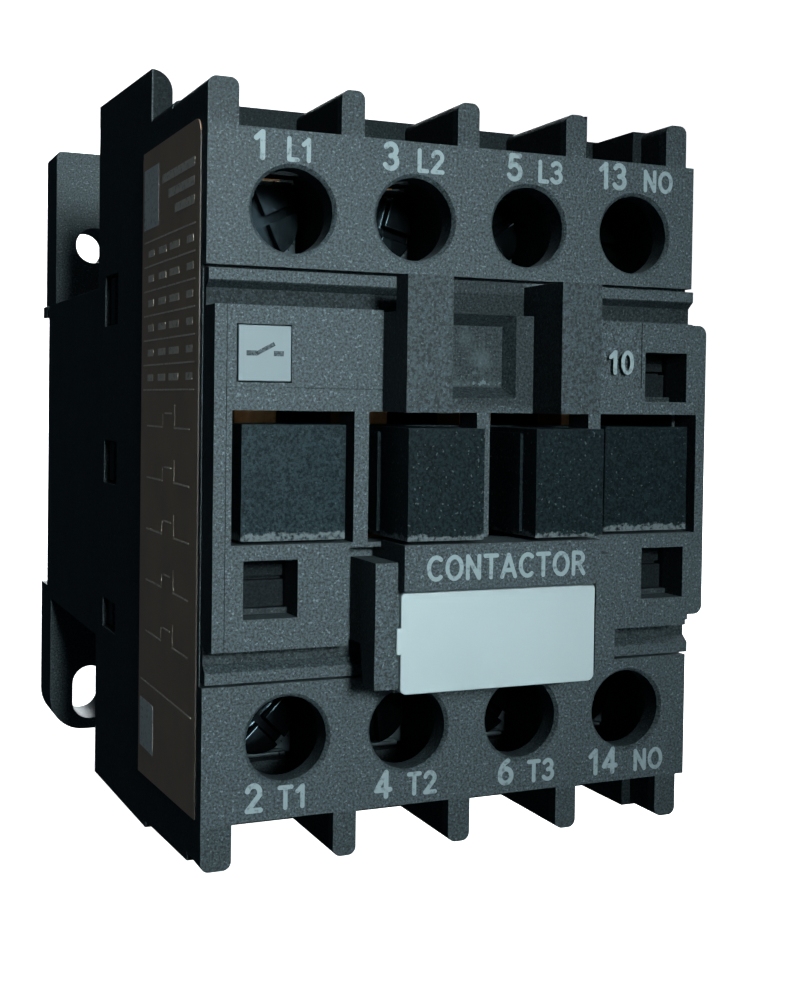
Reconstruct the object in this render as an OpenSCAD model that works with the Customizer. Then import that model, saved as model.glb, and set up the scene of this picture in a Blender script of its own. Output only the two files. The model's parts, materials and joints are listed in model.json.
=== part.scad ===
// Four-pole contactor with screw terminals, for a 35 mm rail or a screw-down panel.
// X is across the poles, +Y points into the panel behind, +Z is up.
// The origin is the centre of the rail slot's mouth, in the rear mounting plane; sizes are in mm.
// "depth" below means distance behind the front faces of the terminal bands.

/* [Overall] */
// Width of the body
body_w = 45; // [44:0.5:46]
// Depth from the terminal bands' front faces to the mounting plane
body_d = 77; // [76:0.5:80]
// Half height of the terminal bands
band_top = 27.35; // [27:0.05:27.6]
// Half height of the fins between the terminals
fin_top = 31; // [30:0.1:31.1]
// Height of the fixing flange above the middle
flange_top = 36.4; // [36.2:0.1:38]
// Depth of the fixing flange below the middle
flange_low = 35.6; // [35.4:0.1:36.4]

/* [Poles] */
// Distance from pole to pole
pole_pitch = 10.6; // [10.5:0.02:10.64]
// Sideways offset of the row of poles from the middle of the body
pole_offset = 0.45; // [0.3:0.05:0.5]
// Distance of each terminal row from the middle of the body
row_z = 21.03; // [20.9:0.01:21.2]
// Diameter of the screwdriver holes
driver_hole_d = 6.8; // [6.4:0.1:7]
// Chamfer around the screwdriver holes
driver_rim = 0.3; // [0.1:0.05:0.4]

/* [Motion] */
// Travel of the contact carrier when the coil pulls in
travel = 4.2; // [3.6:0.1:4.2]
// Distance that a terminal screw and its clamp back out
clamp_travel = 2.6; // [2:0.1:2.8]
// Running clearance of sliding and turning pieces, on the radius
running_gap = 0.05; // [0.02:0.01:0.09]

/* [Mounting] */
// Distance between the fixing holes across the body
fixing_pitch = 35; // [34:0.5:36]
// Diameter of the fixing holes and width of the fixing slots
fixing_d = 4.3; // [4.1:0.1:4.5]
// Height of the two fixing holes above the middle
fixing_hole_z = 25; // [24:0.5:26]
// Height of the middle of the two fixing slots
fixing_slot_z = -31; // [-31.25:0.25:-30.5]
// Overall length of the fixing slots
fixing_slot_l = 6.6; // [6:0.2:7]
// Width of the mounting rail
rail_w = 35; // [35:0.1:35.2]

/* [Hidden] */
$fn = 48;
eps = 0.01;

// Colours
charcoal = [0.20, 0.21, 0.215];
carrier_black = [0.09, 0.10, 0.11];
pale = [0.68, 0.74, 0.76];
label_brown = [0.20, 0.16, 0.14];
zinc = [0.62, 0.63, 0.62];
copper = [0.72, 0.45, 0.25];
core_steel = [0.40, 0.41, 0.43];
spring_steel = [0.55, 0.56, 0.58];
rubber_black = [0.12, 0.12, 0.12];
bobbin_cream = [0.75, 0.73, 0.66];
latch_grey = [0.30, 0.31, 0.32];

// Poles and sides
side_x = body_w / 2;
wall = 1.6;
function pole_x(i) = pole_offset + (i - 2.5) * pole_pitch;
function fin_x(i) = -0.1 + (i - 3) * 10.35;

// Depths of the front housing
roof_d = 11;
rear_tier_d = 18.5;
front_d = 41.5;
chamber_d = 21.5;
floor_t = 2;
front_plate_t = 2.2;
pocket_d = 12;
pocket_half = 4.15;
pocket_low = 17;
chamber_z = 15.2;
cover_z = 16.2;
cover_seat_d = 1.0;
cover_gap = 0.3;
rear_top_z = 35.4;
rear_slope = 2.3;
skirt_d = 4;
skirt_z = [-31.2, -32.1];
rear_low_z = [-32.7, -33.4];
rear_wall_t = 1.9;

// Front cover
cover_face = -2.2;
cover_x = side_x - 0.1;
cover_step_z = [-13.4, 13.3];
strip_face = -0.4;
groove_d = 0.3;
groove_z = [13.3, 14.7, 15.3];
post_face = -6.9;
post_1_x = [-8.5, -4.6];
post_2_x = [5.15, 8.85];
post_top = 15.85;
hook_d = -4.65;
hook_z = 13.1;
scribe = 0.15;
scribe_x = -21.55;
scribe_z = 6.85;
right_cover_x = 11.9;
head_in_face = -7.1;
head_out_face = -1.9;
window_low = -5.0;
window_top = 5.2;

// Rear base
base_half = side_x - 0.05;
flange_top_half = side_x - 0.4;
rail_lip_t = 1.35;
rail_seat_d = body_d - 4.2;
mid_low = -19;
mid_top = 17.5;
mid_wall = 1.9;
flange_d = body_d - 7;
neck_half = 13;
neck_z = 33;
neck_wall = 2;
base_floor_d = rail_seat_d - 3.3;
room_half = 19.2;

// Rail latch and its channel
latch_half = 8.1;
latch_rib_half = 9.3;
latch_d = body_d - 2.8;
latch_rib_t = 1;
latch_back_d = body_d - 0.3;
latch_low = -39;
latch_top = -rail_w / 2 - 0.25;
latch_tip_z = -15.9;
latch_gap = 0.3;
latch_slot_half = 2;
latch_slot_low = -31;
latch_post = [-30.8, -29.3];
latch_spring_l = 7.3;

// Marker holder and its plate
holder_back = strip_face - 0.1;
bar_x = [-8.5, 9.1];
bar_z = [-8.65, -5.05];
bar_face = -7;
arm_z = [-16.4, -6.5];
arm_left_x = [-10.4, -8.36];
arm_left_face = -5.75;
arm_right_x = [9.9, 11.8];
arm_right_face = -5;
plate_x = [-8.3, 9.2];
plate_z = [-16.85, -8.7];
plate_d = [-6, -4.75];

// Contacts and their drive
strip_t = 1;
strip_w = 5;
strip_d = pocket_d - 1.1;
tip_d = 19;
pad_t = 0.8;
pad_r = 1.7;
pad_z = 8.6;
bridge_t = 1.2;
bridge_w = 5.6;
bridge_d = tip_d - 2 * pad_t - travel - running_gap - bridge_t;
bridge_half = 10.4;

// Carrier
beam_d = 1.3;
beam_back_d = 5.5;
rib_x = [[-8.65, -8.3], [2.55, 2.9]];
rib_face = [-1.6, -4.9];
post_x = 3.5;
post_t = 1.2;
carrier_arm = 5;
yoke_plate_d = 24.2;
pin_d = 29.7;
pin_r = 1.5;

// Magnet
core_half_x = 17;
core_half_z = 6;
leg_half = 5;
outer_leg = 5.5;
yoke_t = 5;
armature_d = 27.4;
armature_face = 37.2;
core_face = armature_face + travel + running_gap;
core_back = core_face + 24;
bobbin_front = core_face + 1.2;
bobbin_back = core_back - yoke_t - 0.3;
bobbin_wall = 1;
bobbin_flange_t = 1.2;
sleeve_x = leg_half + 0.3;
sleeve_z = core_half_z + 0.3;
winding_half_x = 10.6;
winding_half_z = 13.4;
return_spring_z = 10.9;

// Terminal screws
head_r = 3.1;
head_t = 2.1;
shank_r = 1.65;
clamp_t = 0.8;
clamp_half = 3.7;
clamp_lip = 0.4;
clamp_ear = 0.7;
clamp_play = 0.2;
clamp_d = strip_d - clamp_play - clamp_t;
head_d = clamp_d - running_gap - head_t;
shank_end_d = 15.2;

// Coil connections
coil_x = 17.1;
coil_z = 32.4;
coil_tab_d = 37.4;
coil_wall_d = 40;
bay_low = 28.4;
bay_d = 20.5;
bay_inner = 14.4;
coil_head_r = 2.1;
coil_shank_r = 1.5;
coil_clamp_half = 2.6;
coil_clamp_d = coil_tab_d - clamp_play - clamp_t;
coil_shank_end_d = 40.6;

// Box given by its x, depth and z limits
module slab(x, d, z)
    translate([x[0], d[0] - body_d, z[0]])
        cube([x[1] - x[0], d[1] - d[0], z[1] - z[0]]);

// Box mirrored to both sides of x = 0
module slab_pair(x, d, z) {
    slab(x, d, z);
    slab([-x[1], -x[0]], d, z);
}

// Box mirrored above and below z = 0
module slab_rows(x, d, z) {
    slab(x, d, z);
    slab(x, d, [-z[1], -z[0]]);
}

// Round bar along the depth
module bar(x, z, d, r)
    translate([x, d[1] - body_d, z])
        rotate([90, 0, 0])
            cylinder(h = d[1] - d[0], r = r);

// Rounded outline in the x-z plane, extruded along the depth
module rounded_slab(x, d, z, r)
    union() {
        slab([x[0] + r, x[1] - r], d, z);
        slab(x, d, [z[0] + r, z[1] - r]);
        for (cx = [x[0] + r, x[1] - r], cz = [z[0] + r, z[1] - r])
            bar(cx, cz, d, r);
    }

// Outline of points [depth, z] spread along x
module profile(x, points)
    translate([x[0], 0, 0])
        rotate([90, 0, 90])
            linear_extrude(height = x[1] - x[0])
                polygon([for (p = points) [p[0] - body_d, p[1]]]);

// Wire spring along +Y from depth d0 to d1, closed end turns, ends cut by the path
function helix_points(r, wire, turns, d0, d1, steps, sides) = [
    for (i = [0:steps], j = [0:sides - 1])
        let (
            t = i / steps,
            a = 360 * turns * t,
            rr = r + wire * cos(360 * j / sides),
            y = d0 + wire + (d1 - d0 - 2 * wire) * t + wire * sin(360 * j / sides)
        ) [rr * cos(a), y - body_d, rr * sin(a)]
];

function helix_faces(steps, sides) = concat(
    [[for (j = [0:sides - 1]) j]],
    [[for (j = [sides - 1:-1:0]) steps * sides + j]],
    [for (i = [0:steps - 1], j = [0:sides - 1])
        let (k = (j + 1) % sides)
            [i * sides + k, i * sides + j, (i + 1) * sides + j, (i + 1) * sides + k]]
);

module spring(x, z, d0, d1, r, wire, turns) {
    sides = 6;
    steps = ceil(turns * 14);
    translate([x, 0, z])
        polyhedron(
            helix_points(r, wire, turns, d0, d1, steps, sides),
            helix_faces(steps, sides)
        );
}

// Limits of the four cover windows and of the carrier heads across the body
window_x = [[-20.95, -10.9], [-9.65, -0.05], [1.15, 10.6], [11.8, 21.65]];
head_x = [[-20.1, -11.5], [-8.35, -1.8], [2.85, 9.1], [12.5, 20.95]];
socket_x = [[-19.95, -15.5], [16.2, 20.5], [16.25, 20.55]];
socket_z = [[-10.95, -6.4], [-10.9, -6.45], [6.3, 10.6]];
socket_floor = 1.6;
inner_fins = [2, 3, 4];
clip_z = [[13.3, 18.4], [-2.6, 1.7], [-17.4, -14.4]];

// ---- Rear base ----

// Snap tongue with a barb, on the right-hand side
module clip_tongue(z) {
    low = z[0] + 0.2;
    high = z[1] - 0.2;
    slab([20.35, 21.45], [33, front_d + 2], [low, high]);
    slab([21.4, 21.95], [36, 37.9], [low, high]);
}

// Flange outline: small radius at the top corners, large radius at the bottom ones
module flange() {
    d = [flange_d, body_d];
    rounded_slab([-base_half, base_half], d, [-flange_low, 0], 4.2);
    rounded_slab([-flange_top_half, flange_top_half], d, [0, flange_top], 0.6);
}

module fixing_cuts() {
    run = (fixing_slot_l - fixing_d) / 2;
    cut = [flange_d - 1, body_d + 1];
    for (sx = [-1, 1]) {
        bar(sx * fixing_pitch / 2, fixing_hole_z, cut, fixing_d / 2);
        for (sz = [-1, 1])
            bar(sx * fixing_pitch / 2, fixing_slot_z + sz * run, cut, fixing_d / 2);
        slab(
            [sx * fixing_pitch / 2 - fixing_d / 2, sx * fixing_pitch / 2 + fixing_d / 2],
            cut,
            [fixing_slot_z - run, fixing_slot_z + run]
        );
    }
}

// Seat of the mounting rail, with the groove behind the fixed upper hook
module rail_cuts() {
    top = rail_w / 2 + 0.2;
    low = -rail_w / 2 - 0.15;
    full = [-side_x - 1, side_x + 1];
    slab(full, [rail_seat_d, body_d + 1], [low, top - 1.6]);
    slab(full, [rail_seat_d, rail_seat_d + rail_lip_t], [low, top]);
}

// Channel of the latch, open at the bottom, with a groove for the ribs on both sides
module latch_channel() {
    z = [latch_low - 1, latch_top + 0.2];
    front = latch_d - latch_gap;
    half = latch_half + latch_gap;
    rib_half = latch_rib_half + latch_gap;
    slab([-half, half], [front, body_d + 1], z);
    slab([-rib_half, rib_half], [front, latch_d + latch_rib_t + 0.2], z);
}

module base_housing() color(charcoal) {
    difference() {
        union() {
            slab([-base_half, base_half], [front_d, body_d], [mid_low, mid_top]);
            slab([-neck_half, neck_half], [front_d, body_d], [-neck_z, neck_z]);
            flange();
            for (z = clip_z) {
                clip_tongue(z);
                mirror([1, 0, 0]) clip_tongue(z);
            }
        }
        slab(
            [-room_half, room_half],
            [front_d - 1, base_floor_d],
            [mid_low + mid_wall, mid_top - mid_wall]
        );
        for (z = [[mid_top, neck_z - neck_wall], [neck_wall - neck_z, mid_low]])
            slab([neck_wall - neck_half, neck_half - neck_wall], [front_d - 1, flange_d], z);
        fixing_cuts();
        rail_cuts();
        latch_channel();
    }
    slab(
        [latch_gap - latch_slot_half, latch_slot_half - latch_gap],
        [latch_d - latch_gap - eps, latch_back_d - 0.1],
        latch_post
    );
}

// ---- Front housing ----

// Side wall of the rear tier, on the right: it spreads towards the back, inner top edge rounded
module rear_side_wall() {
    x = [side_x - rear_wall_t, side_x];
    r = rear_wall_t;
    profile(x, [
        [skirt_d, skirt_z[0]], [rear_tier_d, skirt_z[1]],
        [rear_tier_d, rear_low_z[0]], [front_d, rear_low_z[1]],
        [front_d, band_top], [skirt_d, band_top]
    ]);
    intersection() {
        slab(x, [rear_tier_d, front_d], [band_top - 1, rear_top_z + 2]);
        translate([side_x, rear_tier_d - body_d, rear_top_z])
            rotate([rear_slope, 0, 0])
                union() {
                    translate([-r - 1, -1, -12]) cube([r + 2, 30, 12 - r]);
                    translate([0, -1, -r]) rotate([-90, 0, 0]) cylinder(h = 30, r = r);
                }
    }
}

module fins() {
    d = [0, roof_d + eps];
    rounded_slab([-side_x, -20], d, [-fin_top, fin_top], 0.7);
    for (i = inner_fins)
        rounded_slab([fin_x(i) - 1, fin_x(i) + 1], d, [-fin_top, fin_top], 0.7);
    rounded_slab([19.5, 21.65], d, [-fin_top, fin_top], 0.7);
    slab([18.6, side_x], [4, roof_d + eps], [-fin_top, fin_top]);
}

// Room behind one driver hole: wire pocket, screw shank and contact strip
module terminal_cuts(i, s) {
    x = pole_x(i);
    z = s * row_z;
    low = s > 0 ? pocket_low : -band_top - eps;
    high = s > 0 ? band_top + eps : -pocket_low;
    slab([x - pocket_half, x + pocket_half], [front_plate_t, roof_d], [low, high]);
    slab(
        [x - pocket_half, x + pocket_half],
        [front_plate_t, pocket_d],
        s > 0 ? [z - 4.2, z + 4.6] : [z - 4.6, z + 4.2]
    );
    bar(x, z, [-1, front_plate_t + 1], driver_hole_d / 2);
    translate([x, driver_rim - body_d, z])
        rotate([90, 0, 0])
            cylinder(
                h = 2 * driver_rim, r1 = driver_hole_d / 2, r2 = driver_hole_d / 2 + 2 * driver_rim
            );
    bar(x, z, [pocket_d - 1, shank_end_d + 1], shank_r + 0.3);
    slab(
        [x - strip_w / 2 - 0.1, x + strip_w / 2 + 0.1],
        [strip_d - 0.1, strip_d + strip_t + 0.1],
        s > 0 ? [chamber_z - 1, pocket_low + 1] : [-pocket_low - 1, 1 - chamber_z]
    );
}

module contact_chamber() {
    slab([-20.9, 21.3], [-1, chamber_d], [-5.6, 5.6]);
    for (i = [1:4])
        slab([pole_x(i) - 4.7, pole_x(i) + 4.7], [-1, chamber_d], [-chamber_z, chamber_z]);
    slab([-5.6, 5.6], [chamber_d - 1, 30], [-14, 14]);
}

module magnet_chamber() {
    slab([-19.4, 19.4], [chamber_d + floor_t, front_d + 1], [-16.6, 16.6]);
    slab([-19, 19], [20, coil_wall_d], [18.2, 27]);
    slab([-12.6, 12.6], [20, coil_wall_d], [26, 29.4]);
    slab([-10.8, 10.8], [coil_wall_d - 1, front_d + 1], [18.2, 29.4]);
    slab([-19, 19], [20, coil_wall_d], [-29.4, -18.2]);
}

// Bay of one coil terminal, on the right
module coil_bay() {
    slab([bay_inner, 20.5], [bay_d, coil_wall_d], [bay_low, rear_top_z + 1]);
    bar(coil_x, coil_z, [coil_wall_d - 1, coil_wall_d + 0.9], 1.9);
    slab([coil_x - 2.7, coil_x + 2.7], [coil_tab_d - 0.1, coil_tab_d + 0.9], [26, bay_low + 1]);
}

module clip_windows() {
    for (z = clip_z) {
        slab([20.2, side_x + 1], [32, 38], z);
        slab([20.2, 21.6], [32, front_d + 1], z);
    }
}

module front_housing() color(charcoal)
    difference() {
        union() {
            slab([-side_x, side_x], [0, rear_tier_d], [-band_top, band_top]);
            rounded_slab([-side_x, side_x], [roof_d, front_d], [-fin_top, fin_top + 0.2], 0.7);
            fins();
            for (m = [0, 1]) mirror([m, 0, 0]) {
                rear_side_wall();
                profile(
                    [bay_inner - 0.8, bay_inner],
                    [[24, 30], [24, 32.8], [30, 34.6], [front_d, 34.6], [front_d, 30]]
                );
            }
        }
        slab(
            [-side_x - 1, side_x + 1],
            [-1, cover_seat_d],
            [-cover_z - cover_gap, cover_z + cover_gap]
        );
        contact_chamber();
        magnet_chamber();
        for (i = [1:4], s = [-1, 1])
            terminal_cuts(i, s);
        for (m = [0, 1]) mirror([m, 0, 0]) {
            coil_bay();
            clip_windows();
        }
    }

// ---- Front cover and its trim ----

// Hook socket: two floor blocks with a slit between them and a lip along the lower edge
module hook_socket(x, z) {
    mid = z[0] + 0.6 * (z[1] - z[0]);
    slab(x, [cover_face - 1, socket_floor], [mid, z[1]]);
    slab(x, [cover_face - 1, socket_floor - 0.25], [z[0] + 0.45, mid]);
    slab(x, [cover_face - 1, socket_floor - 1.2], [z[0], z[0] + 0.5]);
    slab(x, [cover_face, socket_floor + 0.6], [mid - 0.15, mid + 0.15]);
}

// Wall behind one socket, standing in the contact chamber
module socket_back(x, z)
    slab([x[0] - 0.15, x[1] + 0.45], [0, socket_floor + 1], [z[0] - 0.5, z[1] + 0.5]);

// Picture-frame recess with sloping sides
module indicator_recess()
    hull() {
        slab([-3.5, 3.5], [cover_face - eps, cover_face], [6.4, 13.3]);
        slab([-2.8, 2.8], [cover_face + 1.1, cover_face + 1.2], [7.3, 12.4]);
    }

// Groove along one strip, with a sloping edge; side is 1 above and -1 below
module strip_groove(x, side)
    profile(x, [
        [strip_face - 0.1, side * groove_z[0]],
        [strip_face - 0.1, side * (groove_z[2] + 0.1)],
        [strip_face, side * groove_z[2]],
        [groove_d, side * groove_z[1]],
        [groove_d, side * groove_z[0]]
    ]);

// Fine seams scribed into the cover's left half
module scribed_seams() {
    d = [cover_face - 1, cover_face + scribe];
    slab([scribe_x, scribe_x + scribe], d, cover_step_z);
    slab([scribe_x, post_1_x[0]], d, [scribe_z, scribe_z + scribe]);
}

module front_cover() color(charcoal)
    difference() {
        union() {
            slab([-cover_x, cover_x], [strip_face, cover_seat_d], [-cover_z, cover_z]);
            slab([-cover_x, 12], [cover_face, 0], [-5.6, cover_step_z[1]]);
            slab([-cover_x, -11.2], [cover_face, 0], [cover_step_z[0], -5]);
            rounded_slab([right_cover_x, 22.6], [cover_face, 0], [-12.5, 13.1], 0.8);
            slab([right_cover_x, 20.9], [cover_face, 0], [cover_step_z[0], -10]);
            slab(post_1_x, [post_face, 0], [window_top, post_top]);
            slab(post_2_x, [post_face, 0], [window_top, post_top]);
            for (k = [0:2])
                socket_back(socket_x[k], socket_z[k]);
        }
        strip_groove([-23, post_1_x[1]], 1);
        strip_groove([9, 23], 1);
        strip_groove([-23, -9], -1);
        strip_groove([9, 23], -1);
        slab([post_1_x[0] - eps, post_1_x[1] + eps], [hook_d, strip_face], [hook_z, post_top + 1]);
        scribed_seams();
        for (x = window_x)
            slab(x, [cover_face - 1, cover_seat_d + 1], [window_low - 0.2, window_top]);
        for (k = [0:2])
            hook_socket(socket_x[k], socket_z[k]);
        slab([-20.65, -16.2], [cover_face - 1, cover_face + 1.4], [7.35, 11.85]);
        slab([post_2_x[1], 15.9], [cover_face - 1, cover_face + scribe], [7.5, 14]);
        indicator_recess();
    }

module badge() color(pale)
    slab([-20.55, -16.3], [cover_face - 0.15, cover_face + 1.3], [7.45, 11.75]);

module marker_holder() color(charcoal)
    difference() {
        union() {
            slab(bar_x, [bar_face, cover_face - 0.05], bar_z);
            slab(bar_x, [cover_face - 0.1, holder_back], [bar_z[0], -5.65]);
            slab(arm_left_x, [arm_left_face, holder_back], arm_z);
            slab(arm_right_x, [arm_right_face, holder_back], arm_z);
            slab([plate_x[0], 10], [plate_d[1] + 0.05, -3.4], [-16.9, -8.5]);
            slab([-9, 10.5], [-3.4 - eps, holder_back], [-11.5, -8.5]);
        }
        slab([-7, 7.6], [-5.5, strip_face], [-8.4, -6.2]);
        // The lower end of the left arm stands clear of the cover's strip
        profile([arm_left_x[0] - 1, arm_left_x[1] + 1], [
            [-2.7, -13.2], [-3.6, arm_z[0] - 1], [1, arm_z[0] - 1], [1, -13.2]
        ]);
    }

module marker_plate() color(pale)
    union() {
        rounded_slab(plate_x, plate_d, plate_z, 0.6);
        slab([plate_x[0] - 0.35, plate_x[0] + 0.3], [plate_d[0], plate_d[0] + 0.2], [-13.7, -11.6]);
    }

module side_label() color(label_brown)
    translate([-side_x - 0.12, 0, 0])
        rotate([90, 0, 90])
            linear_extrude(height = 0.12)
                difference() {
                    union() {
                        polygon([
                            [1.6 - body_d, -27.2], [21 - body_d, -28.1],
                            [21 - body_d, 26.6], [1.6 - body_d, 26.6]
                        ]);
                        translate([3 - body_d, 26.5]) square([18, 1.6]);
                        translate([3 - body_d, 26.7]) circle(r = 1.4);
                    }
                    translate([20.9 - body_d, 27.6]) square([1, 2]);
                }

// ---- Moving carrier ----

// Pin that holds the armature between the carrier's lugs
module cross_pin(length, r)
    translate([0, pin_d - body_d, -length / 2])
        cylinder(h = length, r = r);

// Beam behind the heads, posts with the bridge windows, second beam, stem and yoke plate
module contact_carrier() color(carrier_black) {
    window_d = bridge_d + bridge_t + running_gap;
    beam_z = [-4, 4];
    arm = [-carrier_arm, carrier_arm];
    difference() {
        union() {
            for (i = [0, 3])
                slab(head_x[i], [head_out_face, 3], [-4.95, 4.12]);
            for (i = [1, 2])
                slab(head_x[i], [head_in_face, 3], [-4.75, 4.0]);
            for (i = [0, 1])
                slab(rib_x[i], [rib_face[i], 2], [-4.4, 3.6]);
            slab([head_x[0][0], head_x[3][1]], [beam_d, beam_back_d], [-4.9, 4.1]);
            for (i = [1:4], s = [-1, 1])
                slab(
                    [pole_x(i) + s * post_x - post_t / 2, pole_x(i) + s * post_x + post_t / 2],
                    [beam_back_d - 0.1, window_d + 1],
                    beam_z
                );
            slab(
                [pole_x(1) - post_x - post_t / 2, pole_x(4) + post_x + post_t / 2],
                [window_d, window_d + 3.6],
                beam_z
            );
            slab(arm, [window_d + 3, yoke_plate_d + 1], beam_z);
            slab(arm, [yoke_plate_d, armature_d - 0.2], [-13.4, 13.4]);
            slab_rows(arm, [armature_d - 0.4, pin_d + 2.3], [core_half_z + 0.3, core_half_z + 2.3]);
        }
        cross_pin(20, pin_r + eps);
    }
}

// E-shaped stack: yoke at depth d, legs towards face
module e_core(yoke, legs) {
    slab([-core_half_x, core_half_x], yoke, [-core_half_z, core_half_z]);
    slab([-leg_half, leg_half], legs, [-core_half_z, core_half_z]);
    slab_pair([core_half_x - outer_leg, core_half_x], legs, [-core_half_z, core_half_z]);
}

module armature() color(core_steel)
    difference() {
        e_core([armature_d, armature_d + yoke_t], [armature_d + 1, armature_face]);
        cross_pin(20, pin_r + eps);
    }

module armature_pin() color(zinc)
    cross_pin(2 * core_half_z + 5.2, pin_r);

module bridge(i) color(copper)
    union() {
        slab(
            [pole_x(i) - bridge_w / 2, pole_x(i) + bridge_w / 2],
            [bridge_d, bridge_d + bridge_t],
            [-bridge_half, bridge_half]
        );
        for (s = [-1, 1])
            bar(
                pole_x(i),
                s * pad_z,
                [bridge_d + bridge_t - eps, bridge_d + bridge_t + pad_t],
                pad_r
            );
    }

module contact_spring(i) color(spring_steel)
    spring(pole_x(i), 0, beam_back_d, bridge_d, 1.9, 0.25, 5);

// ---- Fixed contacts ----

module fixed_contact(i, s) color(copper)
    mirror([0, 0, s > 0 ? 0 : 1])
        difference() {
            x = [pole_x(i) - strip_w / 2, pole_x(i) + strip_w / 2];
            union() {
                slab(x, [strip_d, strip_d + strip_t], [13.2, 25.2]);
                slab(x, [strip_d, tip_d + strip_t], [13.2, 14.2]);
                slab(x, [tip_d, tip_d + strip_t], [6.6, 14.2]);
                bar(pole_x(i), pad_z, [tip_d - pad_t, tip_d + eps], pad_r);
            }
            bar(pole_x(i), row_z, [strip_d - 1, strip_d + 2], shank_r + running_gap);
        }

// ---- Magnet and coil ----

// Shading ring of one outer leg, on the right; grow widens it to cut its groove
module shading_ring(grow)
    difference() {
        slab([12.4 - grow, 16.2 + grow], [core_face, core_face + 1.2 + grow], [-4.6 - grow, 3 + grow]);
        slab([13.3 + grow, 15.3 - grow], [core_face - 1, core_face + 3], [-3.7 + grow, 2.1 - grow]);
    }

module fixed_core() color(core_steel)
    difference() {
        e_core([core_back - yoke_t, core_back], [core_face, core_back - 1]);
        for (m = [0, 1]) mirror([m, 0, 0])
            translate([0, -eps, 0]) shading_ring(2 * eps);
    }

module shading_rings() color(copper)
    for (m = [0, 1]) mirror([m, 0, 0])
        shading_ring(0);

module core_cushion() color(rubber_black)
    slab_pair([10, core_half_x], [core_back, base_floor_d], [-core_half_z, core_half_z]);

// Block around the core's middle leg, grown sideways and lengthened at both ends
module sleeve(grow, longer)
    slab(
        [-sleeve_x - grow, sleeve_x + grow],
        [bobbin_front - longer, bobbin_back + longer],
        [-sleeve_z - grow, sleeve_z + grow]
    );

module coil_bobbin() color(bobbin_cream)
    difference() {
        union() {
            for (d = [bobbin_front, bobbin_back - bobbin_flange_t])
                rounded_slab([-11.2, 11.2], [d, d + bobbin_flange_t], [-14.3, 14.3], 1.5);
            sleeve(bobbin_wall, 0);
        }
        sleeve(0, 1);
    }

module coil_winding() color(copper)
    difference() {
        rounded_slab(
            [-winding_half_x, winding_half_x],
            [bobbin_front + bobbin_flange_t, bobbin_back - bobbin_flange_t],
            [-winding_half_z, winding_half_z],
            4
        );
        sleeve(bobbin_wall, 0);
    }

module return_springs() color(spring_steel)
    for (s = [-1, 1])
        spring(0, s * return_spring_z, armature_d - 0.2, bobbin_front, 2, 0.3, 6);

module coil_terminal(m) color(zinc)
    mirror([m, 0, 0])
        difference() {
            x = [coil_x - 2.6, coil_x + 1.8];
            union() {
                slab(x, [coil_tab_d, coil_tab_d + 0.8], [21, 35.2]);
                slab(x, [coil_tab_d, coil_wall_d - 0.2], [21, 21.8]);
            }
            bar(coil_x, coil_z, [coil_tab_d - 1, coil_tab_d + 2], coil_shank_r + running_gap);
        }

// ---- Screws and clamps ----

// Cheese-head screw with a crossed slot, its head's front face at depth d
module clamp_screw(x, z, d, radius, thick, shank, end, turn)
    difference() {
        union() {
            bar(x, z, [d, d + thick], radius);
            bar(x, z, [d + thick - eps, end], shank);
        }
        translate([x, d - body_d, z])
            rotate([0, turn, 0])
                for (a = [0, 90]) rotate([0, a, 0])
                    translate([-radius - 1, -1, -0.4])
                        cube([2 * radius + 2, 1.9, 0.8]);
    }

// Saddle clamp: plate, ears beside the strip, lips turned towards the driver
module saddle(x, z, d, half, hole, ear_l)
    difference() {
        union() {
            slab([x - half, x + half], [d, d + clamp_t], [z - half, z + half]);
            for (s = [-1, 1]) {
                ear = x + s * (half - clamp_ear / 2);
                lip = z + s * (half - clamp_lip / 2);
                slab(
                    [ear - clamp_ear / 2, ear + clamp_ear / 2],
                    [d, d + clamp_t + ear_l],
                    [z - half + 1, z + half - 1]
                );
                slab(
                    [x - half + 0.8, x + half - 0.8],
                    [d - 1, d + clamp_t],
                    [lip - clamp_lip / 2, lip + clamp_lip / 2]
                );
            }
        }
        bar(x, z, [d - 2, d + 2], hole);
    }

function terminal_x(k) = pole_x(k <= 4 ? k : k - 4);
function terminal_z(k) = k <= 4 ? row_z : -row_z;

module terminal_screw(k) color(zinc)
    clamp_screw(
        terminal_x(k), terminal_z(k), head_d, head_r, head_t, shank_r, shank_end_d, 25 + 40 * k
    );

module terminal_clamp(k) color(zinc)
    saddle(terminal_x(k), terminal_z(k), clamp_d, clamp_half, shank_r + 0.2, 1);

module coil_screw(m) color(zinc)
    mirror([m, 0, 0])
        clamp_screw(
            coil_x, coil_z, coil_clamp_d - running_gap - head_t,
            coil_head_r, head_t, coil_shank_r, coil_shank_end_d, 30
        );

module coil_clamp(m) color(zinc)
    mirror([m, 0, 0])
        saddle(coil_x, coil_z, coil_clamp_d, coil_clamp_half, coil_shank_r + 0.2, 0);

// ---- Rail latch ----

module rail_latch() color(latch_grey) {
    x = [-latch_half, latch_half];
    through = [latch_d - 1, body_d];
    difference() {
        union() {
            slab(
                [-latch_rib_half, latch_rib_half],
                [latch_d, latch_d + latch_rib_t],
                [latch_low + 5, latch_top - 1]
            );
            slab(x, [latch_d, latch_back_d], [latch_low, latch_top]);
            slab(
                x,
                [rail_seat_d + rail_lip_t + running_gap, latch_back_d],
                [latch_top - 1, latch_tip_z]
            );
        }
        slab(
            [-latch_slot_half, latch_slot_half],
            through,
            [latch_slot_low, latch_post[1] + latch_spring_l]
        );
        slab([-3, 3], through, [latch_low + 1, latch_low + 2.8]);
    }
}

module latch_spring() color(spring_steel)
    translate([0, latch_d + 1.2 - body_d, latch_post[1]])
        rotate([90, 0, 0])
            spring(0, 0, body_d, body_d + latch_spring_l, 0.9, 0.15, 6);

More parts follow.
